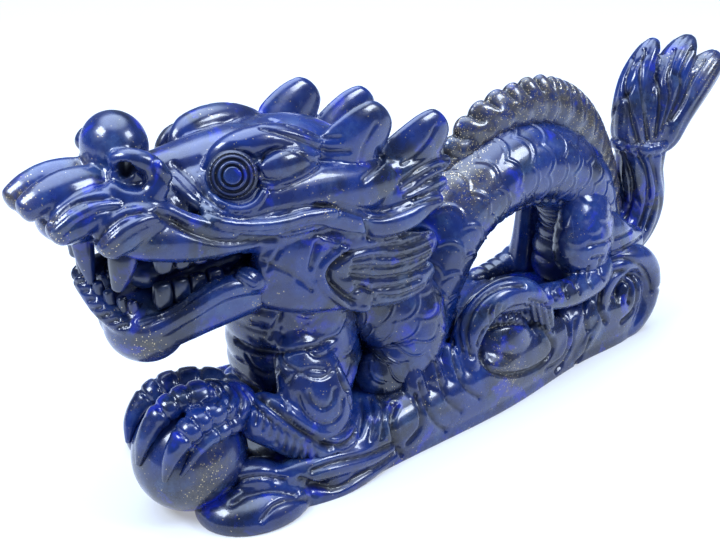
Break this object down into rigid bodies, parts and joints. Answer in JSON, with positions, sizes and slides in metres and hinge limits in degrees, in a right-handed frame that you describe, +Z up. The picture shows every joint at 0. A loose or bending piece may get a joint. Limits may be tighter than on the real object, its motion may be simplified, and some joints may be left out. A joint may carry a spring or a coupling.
{
  "type": "carved lapis lazuli dragon figurine",
  "caption": "Polished lapis lazuli carving of a standing Chinese dragon with arched scaly body, flame tail and a pearl under its forepaw, on a flat cloud base.",
  "frame": {"origin": "centre of the bounding box on the flat underside", "axes": "+Z up, +X from the head towards the tail, -Y the dragon's left side with the pearl"},
  "size_m": [0.1629, 0.0451, 0.0695],
  "materials": {
    "polished_lapis": "polished deep blue lapis lazuli with gold pyrite specks and darker veins"
  },
  "bodies": {
    "root": {"carved_dragon": "polished_lapis"}
  },
  "joints": []
}
